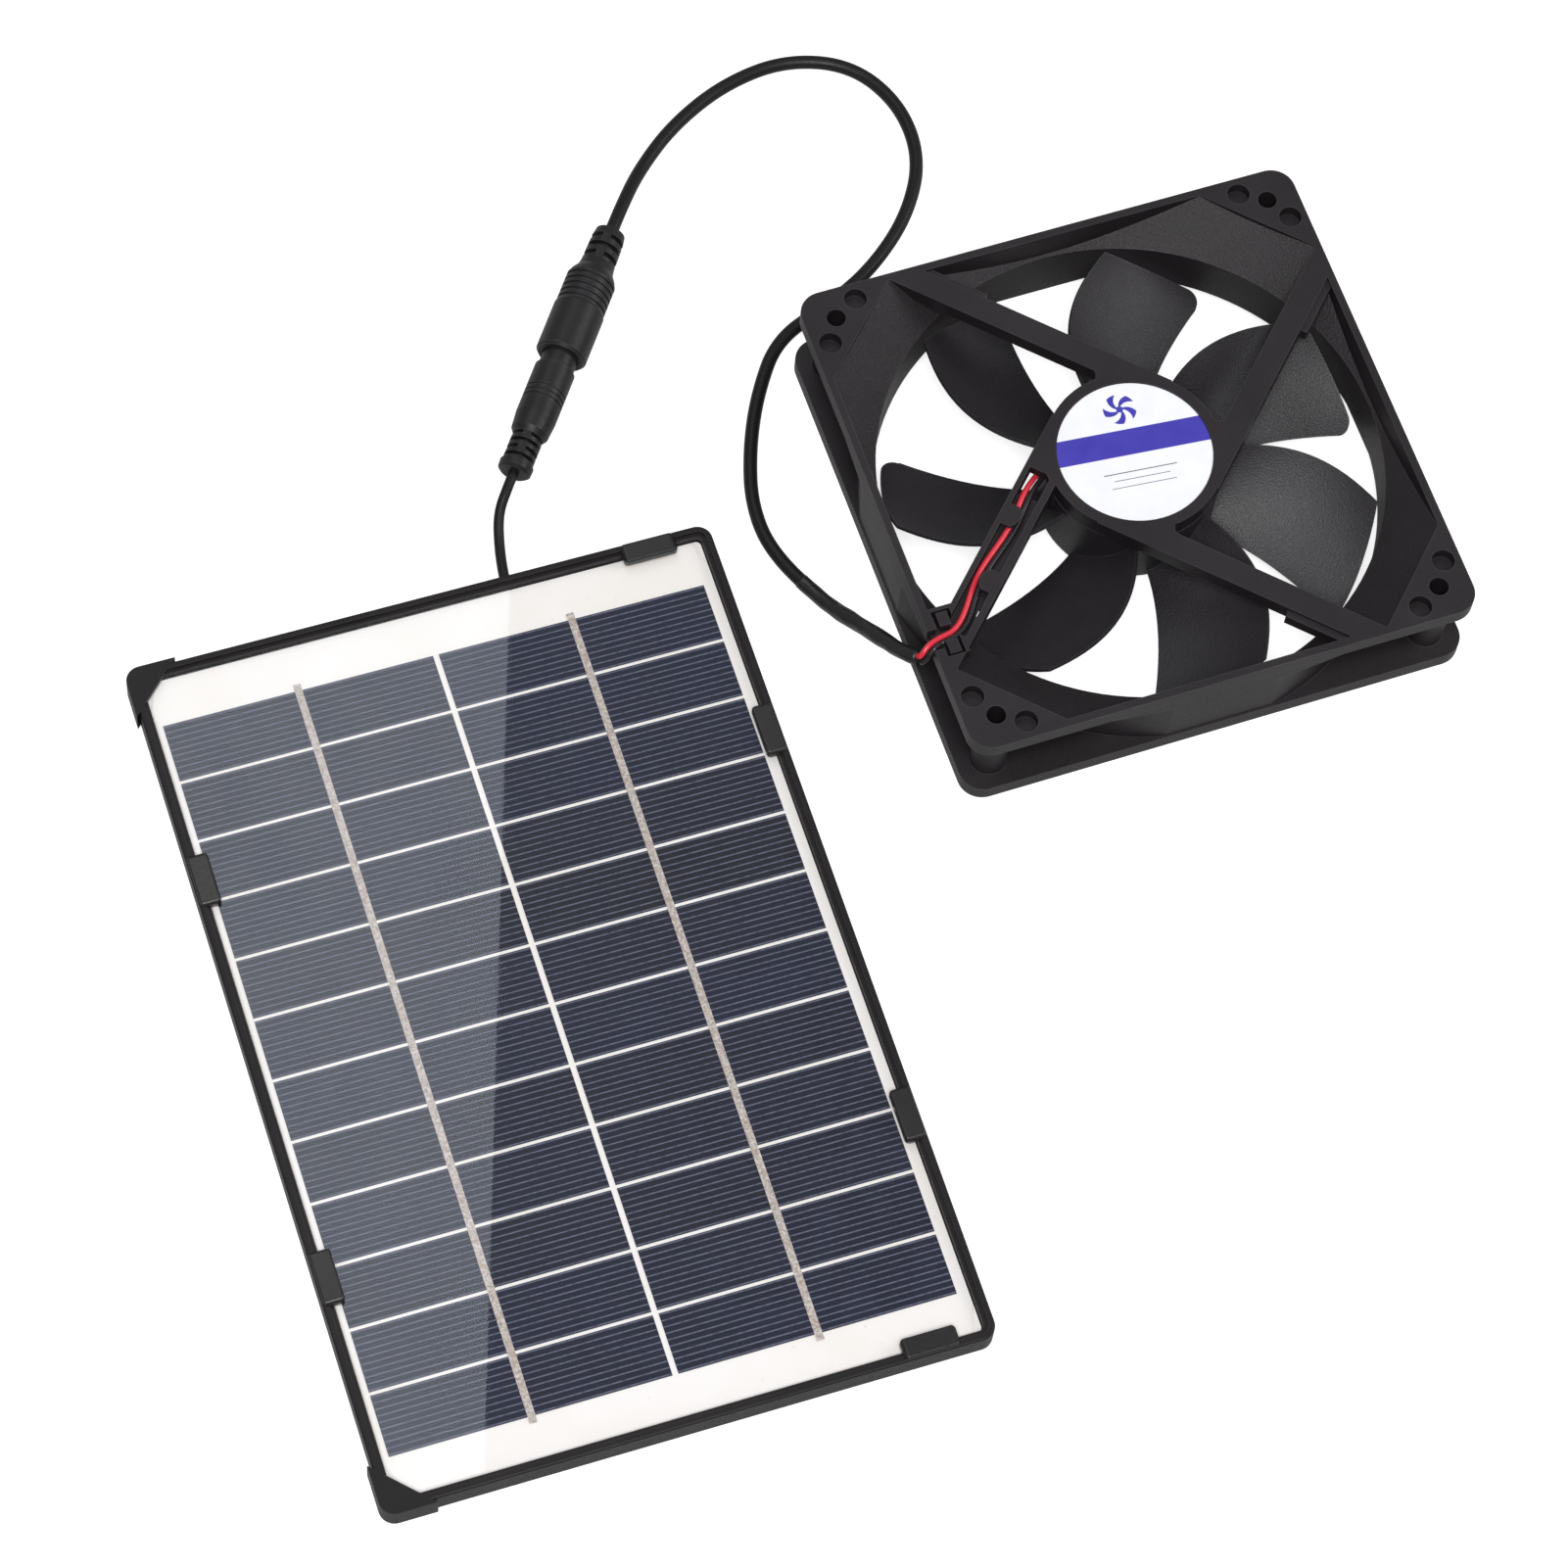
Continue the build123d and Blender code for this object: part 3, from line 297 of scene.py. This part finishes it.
# Polycrystalline silicon: each strip has its own blue, crystals show faintly, thin silver fingers cross it.
def makeSolarCell():
    tree, shader, material = newMaterial("solarCell", Specular_IOR_Level=0.3)
    local = onPanel(tree)
    parts = put(tree, "ShaderNodeSeparateXYZ", {0: local}).outputs
    across = calc(tree, "SUBTRACT", parts[0], cellLook["centreX"])
    along = calc(tree, "SUBTRACT", parts[1], cellLook["centreY"])
    row = calc(tree, "DIVIDE", along, cellLook["pitchY"])
    rowIndex = calc(tree, "FLOOR", row)
    side = calc(tree, "GREATER_THAN", across, 0.0)
    seed = put(tree, "ShaderNodeCombineXYZ", {0: rowIndex, 1: side, 2: 3.0}).outputs[0]
    chance = put(tree, "ShaderNodeTexWhiteNoise", {"Vector": seed}).outputs["Value"]
    stretched = put(tree, "ShaderNodeMapping", {"Vector": local, "Scale": (1.0, 0.55, 1.0)}).outputs[0]
    crystals = put(tree, "ShaderNodeTexVoronoi", {"Vector": stretched, "Scale": 170.0}).outputs["Color"]
    crystal = put(tree, "ShaderNodeSeparateXYZ", {0: crystals}).outputs[0]
    cloud = noise(tree, local, 60.0, 3.0, 0.6)
    tone = calc(tree, "ADD", calc(tree, "MULTIPLY", chance, 0.55), calc(tree, "MULTIPLY", crystal, 0.2))
    tone = calc(tree, "ADD", tone, calc(tree, "MULTIPLY", cloud, 0.3))
    silicon = mixColours(tree, ramp(tree, tone, 0.1, 0.9), colour(13, 13, 24), colour(14, 20, 46))
    fingerPhase = calc(tree, "FRACT", calc(tree, "MULTIPLY", row, cellLook["fingers"]))
    fingerAway = calc(tree, "ABSOLUTE", calc(tree, "SUBTRACT", fingerPhase, 0.5))
    finger = ramp(tree, fingerAway, cellLook["fingerShare"], cellLook["fingerShare"] * 0.5)
    broken = ramp(tree, noise(tree, local, 900.0, 2.0, 0.5), 0.3, 0.55, 0.45, 0.95)
    painted = calc(tree, "MULTIPLY", finger, broken)
    tree.links.new(mixColours(tree, painted, silicon, colour(96, 100, 118)), shader.inputs["Base Color"])
    tree.links.new(ramp(tree, crystal, 0.0, 1.0, 0.28, 0.42), shader.inputs["Roughness"])
    bumpFrom(tree, shader, painted, 0.00002)
    return material


# Tinned copper strip with grainy solder, duller and redder in places.
def makeRibbon():
    tree, shader, material = newMaterial("ribbonTin", Metallic=0.55)
    local = onPanel(tree)
    grain = noise(tree, local, 1500.0, 3.0, 0.7)
    patch = noise(tree, local, 420.0, 3.0, 0.6)
    tone = mixColours(tree, ramp(tree, grain, 0.35, 0.65), colour(150, 140, 134), colour(214, 206, 200))
    tree.links.new(mixColours(tree, ramp(tree, patch, 0.5, 0.75, 0.0, 0.6), tone, colour(150, 118, 100)),
                   shader.inputs["Base Color"])
    tree.links.new(ramp(tree, grain, 0.3, 0.7, 0.35, 0.6), shader.inputs["Roughness"])
    bumpFrom(tree, shader, grain, 0.00008)
    return material


labelLook = dict(bandSlope=radians(-5.3), bandAcross=0.0027, bandWidth=0.0065,
                 wheelPlace=(-0.0005, 0.0112, 0.02475), wheelRadius=0.0038, wheelBlur=0.00004,
                 wheelTwist=190.0, wheelArms=5.0, hubRadius=0.00081,
                 lines=[(-0.0047, 0.0001, 0.0085), (-0.0065, 0.00007, 0.0065), (-0.0083, 0.00007, 0.0075)])


# White film with a plain blue band, a plain pinwheel above it and three thin grey lines below it.
def makeLabel():
    tree, shader, material = newMaterial("labelFilm", Coat_Weight=0.6, Coat_Roughness=0.12)
    place = put(tree, "ShaderNodeTexCoord").outputs["Object"]
    slope = (0.0, 0.0, -labelLook["bandSlope"])
    turned = put(tree, "ShaderNodeMapping", {"Vector": place, "Rotation": slope})
    parts = put(tree, "ShaderNodeSeparateXYZ", {0: turned.outputs[0]}).outputs
    fromBand = calc(tree, "ABSOLUTE", calc(tree, "SUBTRACT", parts[1], labelLook["bandAcross"]))
    band = ramp(tree, fromBand, labelLook["bandWidth"] / 2 + 0.00005, labelLook["bandWidth"] / 2 - 0.00005)
    film = noise(tree, place, 160.0, 3.0, 0.6)
    white = mixColours(tree, ramp(tree, film, 0.3, 0.7), colour(236, 236, 241), colour(228, 229, 236))
    blue = mixColours(tree, ramp(tree, film, 0.3, 0.7), colour(52, 46, 158), colour(60, 52, 168))
    # A plain pinwheel of curved arms above the band: arm number = angle + a twist that grows with radius.
    around = put(tree, "ShaderNodeVectorMath", {0: turned.outputs[0], 1: labelLook["wheelPlace"]},
                 operation="SUBTRACT").outputs[0]
    spokes = put(tree, "ShaderNodeSeparateXYZ", {0: around}).outputs
    reach = put(tree, "ShaderNodeVectorMath", {0: around}, operation="LENGTH").outputs["Value"]
    angle = calc(tree, "DIVIDE", calc(tree, "ARCTAN2", spokes[1], spokes[0]), 2 * pi)
    twist = calc(tree, "MULTIPLY_ADD", reach, labelLook["wheelTwist"], 10.0)
    arm = calc(tree, "FRACT", calc(tree, "MULTIPLY_ADD", angle, labelLook["wheelArms"], twist))
    rim, hub, blur = labelLook["wheelRadius"], labelLook["hubRadius"], labelLook["wheelBlur"]
    wheel = calc(tree, "MULTIPLY", ramp(tree, arm, 0.5, 0.46), ramp(tree, reach, rim + blur, rim - blur))
    wheel = calc(tree, "MAXIMUM", wheel, ramp(tree, reach, hub + blur, hub - blur))
    ink = calc(tree, "MAXIMUM", band, wheel)
    printed = mixColours(tree, ink, white, blue)
    lines = 0.0
    for level, half, reachAcross in labelLook["lines"]:
        fromLine = calc(tree, "ABSOLUTE", calc(tree, "SUBTRACT", parts[1], level))
        near = ramp(tree, fromLine, half + 0.00003, half)
        inside = ramp(tree, calc(tree, "ABSOLUTE", parts[0]), reachAcross, reachAcross - 0.00005)
        lines = calc(tree, "MAXIMUM", lines, calc(tree, "MULTIPLY", near, inside))
    tree.links.new(mixColours(tree, lines, printed, colour(70, 70, 84)), shader.inputs["Base Color"])
    tree.links.new(ramp(tree, film, 0.3, 0.7, 0.3, 0.4), shader.inputs["Roughness"])
    bumpFrom(tree, shader, noise(tree, place, 500.0, 2.0, 0.5), 0.00001)
    return material


# Clear sheet: see-through except for its gloss, which follows the viewing angle, with faint smears.
def makeClear():
    tree, shader, material = newMaterial("clearCover", Metallic=1.0)
    place = put(tree, "ShaderNodeTexCoord").outputs["Object"]
    smear = noise(tree, place, 35.0, 4.0, 0.6)
    gloss = put(tree, "ShaderNodeFresnel", {"IOR": 1.5}).outputs[0]
    tinted = mixColours(tree, smear, colour(246, 248, 252), colour(236, 240, 248))
    tree.links.new(tinted, shader.inputs["Base Color"])
    tree.links.new(ramp(tree, smear, 0.35, 0.7, 0.008, 0.02), shader.inputs["Roughness"])
    facing = calc(tree, "SUBTRACT", 1.0, put(tree, "ShaderNodeNewGeometry").outputs["Backfacing"])
    gloss = calc(tree, "MULTIPLY", gloss, ramp(tree, smear, 0.3, 0.75, 0.95, 1.1))
    tree.links.new(calc(tree, "MULTIPLY", gloss, facing), shader.inputs["Alpha"])
    return material


finishes.update(whiteSheet=makeWhiteSheet(), solarCell=makeSolarCell(), ribbonTin=makeRibbon(),
                labelFilm=makeLabel(), clearCover=makeClear())
print("materials made")

finishOf = dict(
    housingPlastic=["fan_housing"], labelFilm=["hub_label"], impellerPlastic=["impeller"],
    brass=["bearing_tube", "terminal_tabs"], bronze=["sleeve_bearing", "chip_capacitors"],
    nylon=["oil_washer", "stator_insulators", "jack_insulator", "plug_insulator", "retaining_ring"],
    sealRubber=["bearing_cap"], coreSteel=["stator_core"], copperWire=["stator_windings"],
    boardResin=["circuit_board"], chipResin=["hall_sensor", "drive_chip", "blocking_diode"],
    redInsulation=["lead_red"], blackInsulation=["lead_black"], shrinkTube=["heat_shrink_sleeve"],
    cordRubber=["fan_cable", "panel_cable"], connectorRubber=["jack_housing", "plug_body"],
    platedMetal=["jack_contact", "jack_pin", "plug_barrel", "plug_socket"], yokeSteel=["rotor_yoke"],
    ferrite=["magnet_ring"], shaftSteel=["rotor_shaft"], framePlastic=["panel_frame", "junction_cover"],
    clipPlastic=["panel_clips"], whiteSheet=["backsheet"],
    solarCell=["solar_cells"], ribbonTin=["cell_ribbons"])
for finish, names in finishOf.items():
    for name in names:
        nodes[name].data.materials.clear()
        nodes[name].data.materials.append(finishes[finish])


# A smooth curve whose control points are these and whose ends are the first and last of them.
def smoothCurve(name, points, resolution):
    data = bpy.data.curves.new(name, "CURVE")
    data.dimensions = "3D"
    spline = data.splines.new("NURBS")
    spline.points.add(len(points) - 1)
    for point, place in zip(spline.points, points):
        point.co = (*place, 1.0)
    spline.order_u = 3
    spline.use_endpoint_u = True
    spline.resolution_u = resolution
    return data


# A round cord along the smooth curve through its route.
def makeCord(name, facts, body):
    data = smoothCurve(name, facts["points"], 12)
    data.bevel_depth = facts["diameter"] / 2
    data.bevel_resolution = 6
    data.use_fill_caps = True
    data.materials.append(finishes["cordRubber"])
    cord = bpy.data.objects.new(name, data)
    scene.collection.objects.link(cord)
    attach(cord, body)
    return cord


# Even points down the smooth curve that has these control points.
def lineOf(points, count):
    data = smoothCurve("bare", points, 24)
    bare = bpy.data.objects.new("bare", data)
    mesh = bpy.data.meshes.new_from_object(bare)
    line = np.array([vertex.co for vertex in mesh.vertices])
    bpy.data.meshes.remove(mesh)
    bpy.data.curves.remove(data)
    along = np.concatenate([[0], np.cumsum(np.linalg.norm(np.diff(line, axis=0), axis=1))])
    even = np.linspace(0, along[-1], count)
    return np.stack([np.interp(even, along, line[:, axis]) for axis in range(3)], axis=1)


# Quads between neighbouring rings of points and a fan to a middle point at each end, which come last.
def ringFaces(rows, sides, turned=False):
    first = np.arange(rows * sides).reshape(rows, sides)
    after = np.roll(first, -1, axis=1)
    quads = np.stack([first[:-1], first[1:], after[1:], after[:-1]], axis=-1).reshape(-1, 4)
    startFan = np.stack([np.full(sides, rows * sides), first[0], after[0]], axis=-1)
    endFan = np.stack([np.full(sides, rows * sides + 1), after[-1], first[-1]], axis=-1)
    fans = np.concatenate([startFan, endFan])
    if turned:
        quads, fans = quads[:, [0, 3, 2, 1]], fans[:, [0, 2, 1]]
    return quads.tolist() + fans.tolist()


# Point = line(s) + radius(s, t) * (cos t * side + sin t * up), closed at both ends by a flat cap.
def makeTube(name, line, radii, material, body):
    rows, sides = radii.shape
    ahead = np.gradient(line, axis=0)
    ahead /= np.linalg.norm(ahead, axis=1, keepdims=True)
    side = np.cross(ahead, [0.0, 0.0, 1.0])
    side /= np.linalg.norm(side, axis=1, keepdims=True)
    up = np.cross(side, ahead)
    turn = np.linspace(0, 2 * pi, sides, endpoint=False)
    points = line[:, None, :] + radii[:, :, None] * (
        np.cos(turn)[None, :, None] * side[:, None, :] + np.sin(turn)[None, :, None] * up[:, None, :])
    vertices = np.concatenate([points.reshape(-1, 3), line[:1], line[-1:]])
    mesh = bpy.data.meshes.new(name)
    mesh.from_pydata(vertices.tolist(), [], ringFaces(rows, sides))
    mesh.polygons.foreach_set("use_smooth", np.ones(len(mesh.polygons), bool))
    mesh.materials.append(material)
    tube = bpy.data.objects.new(name, mesh)
    scene.collection.objects.link(tube)
    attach(tube, body)
    return tube


fanCordPiece = makeCord("fanCord", fanCord, "fan")
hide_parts("fan_cable")
panelCordPiece = makeCord("panelCord", panelCord, "panel_side")
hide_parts("panel_cable")

# Radius = sleeve's radius + two soft lumps + a slight ripple along and around it.
sleeveLine = lineOf(sleeve["points"], sleeve["rows"])
along = np.linspace(0, 1, sleeve["rows"])[:, None]
around = np.linspace(0, 2 * pi, sleeve["sides"], endpoint=False)[None, :]
lump = sum(np.exp(-((along - place) / sleeve["lumpWidth"]) ** 2) for place in sleeve["lumps"])
sleeveRadii = (sleeve["radius"] - sleeve["shrunk"] + sleeve["swell"] * lump * (1 + 0.4 * np.cos(2 * around))
               + sleeve["ripple"] * np.sin(14 * pi * along) * np.cos(3 * around + 5 * along))
sleevePiece = makeTube("shrinkSleeve", sleeveLine, sleeveRadii, finishes["shrinkTube"], "fan")
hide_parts("heat_shrink_sleeve")

print("cords made")


coverSheet = dict(width=0.1291, length=0.1973, low=0.0047, top=0.006, round=0.0005, middle=0.02, sides=128)


# A closed sheet: its outline is a rectangle, r(t) = 1 / max(|cos t| / half width, |sin t| / half length), and
# rings carry it from the middle of the underside out, round the rounded edge and in to the middle of the top.
def makeCoverSheet():
    sides, middleInset = coverSheet["sides"], coverSheet["middle"]
    turn = (np.arange(sides) + 0.5) * 2 * pi / sides
    halfWide, halfLong = coverSheet["width"] / 2, coverSheet["length"] / 2
    stretch = 1 / np.maximum(np.abs(np.cos(turn)) / halfWide, np.abs(np.sin(turn)) / halfLong)
    outline = np.stack([np.cos(turn) * stretch, np.sin(turn) * stretch], axis=1)
    roundOff, low, top = coverSheet["round"], coverSheet["low"], coverSheet["top"]
    bend = np.linspace(0, pi / 2, 4)
    inset = np.concatenate([[middleInset], roundOff * (1 - np.sin(bend)), roundOff * (1 - np.cos(bend)),
                            [middleInset]])
    height = np.concatenate([[low], low + roundOff * (1 - np.cos(bend)),
                             top - roundOff * (1 - np.sin(bend)), [top]])
    rings = outline[None] * (1 - inset[:, None, None] / np.array([halfWide, halfLong]))
    points = np.concatenate([rings, np.broadcast_to(height[:, None, None], (*rings.shape[:2], 1))], axis=2)
    rows = len(height)
    middle = np.array([[0, 0, low], [0, 0, top]])
    vertices = np.concatenate([points.reshape(-1, 3), middle])
    swing = np.array(Matrix.Rotation(panel["turn"], 3, "Z"))
    vertices = vertices @ swing.T + np.array(panel["centre"])
    mesh = bpy.data.meshes.new("coverSheet")
    mesh.from_pydata(vertices.tolist(), [], ringFaces(rows, sides, turned=True))
    mesh.materials.append(finishes["clearCover"])
    sheet = bpy.data.objects.new("coverSheet", mesh)
    scene.collection.objects.link(sheet)
    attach(sheet, "panel_side")
    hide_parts("front_cover", "encapsulant")


makeCoverSheet()
print("cover made")


# A flat pale square just under everything. It glows brighter to the camera than to the pieces on it.
floorLook = dict(reach=6.0, level=-0.0002, grey=0.5, glowOnPieces=0.1, glowSeen=0.75)


def makeFloor():
    reach, grey = floorLook["reach"], floorLook["grey"]
    mesh = bpy.data.meshes.new("floor")
    corners = [(x * reach, y * reach, floorLook["level"]) for x, y in ((-1, -1), (1, -1), (1, 1), (-1, 1))]
    mesh.from_pydata(corners, [], [(0, 1, 2, 3)])
    tree, shader, material = newMaterial("paleFloor", Roughness=0.9, Specular_IOR_Level=0.1,
                                         Base_Color=(grey, grey, grey, 1), Emission_Color=(1, 1, 1, 1))
    seen = put(tree, "ShaderNodeLightPath").outputs["Is Camera Ray"]
    glow = ramp(tree, seen, 0.0, 1.0, floorLook["glowOnPieces"], floorLook["glowSeen"])
    tree.links.new(glow, shader.inputs["Emission Strength"])
    mesh.materials.append(material)
    floor = bpy.data.objects.new("floor", mesh)
    scene.collection.objects.link(floor)


def addLamp(name, place, aim, size, power, tint=(1, 1, 1), turn=0.0):
    data = bpy.data.lights.new(name, "AREA")
    data.shape = "RECTANGLE"
    data.size, data.size_y = size
    data.energy = power
    data.color = tint
    lamp = bpy.data.objects.new(name, data)
    lamp.location = place
    lamp.rotation_euler = (Vector(aim) - Vector(place)).to_track_quat("-Z", "Y").to_euler()
    lamp.rotation_euler.rotate_axis("Z", turn)
    scene.collection.objects.link(lamp)


makeFloor()
middle = (-0.08, -0.02, 0.0)
lamps = dict(
    # The cover mirrors this one as the pale wedge over the left-hand cells.
    windowLamp=dict(place=(-0.2044, 0.86, 1.7), aim=(-0.2044, 0.86, 0.0), size=(0.68, 0.9), power=4.4,
                    tint=(0.93, 0.97, 1.0), turn=radians(-19.5)),
    sideLamp=dict(place=(1.4, -0.3, 1.1), aim=middle, size=(0.9, 0.9), power=10),
    frontLamp=dict(place=(-0.55, -1.02, 2.25), aim=middle, size=(1.0, 0.8), power=50))
for name, facts in lamps.items():
    addLamp(name, **facts)
world = bpy.data.worlds.new("studio")
world.use_nodes = True
world.node_tree.nodes["Background"].inputs["Color"].default_value = (1, 1, 1, 1)
world.node_tree.nodes["Background"].inputs["Strength"].default_value = 0.3
scene.world = world
scene.view_settings.view_transform = "Standard"

print("scene made")
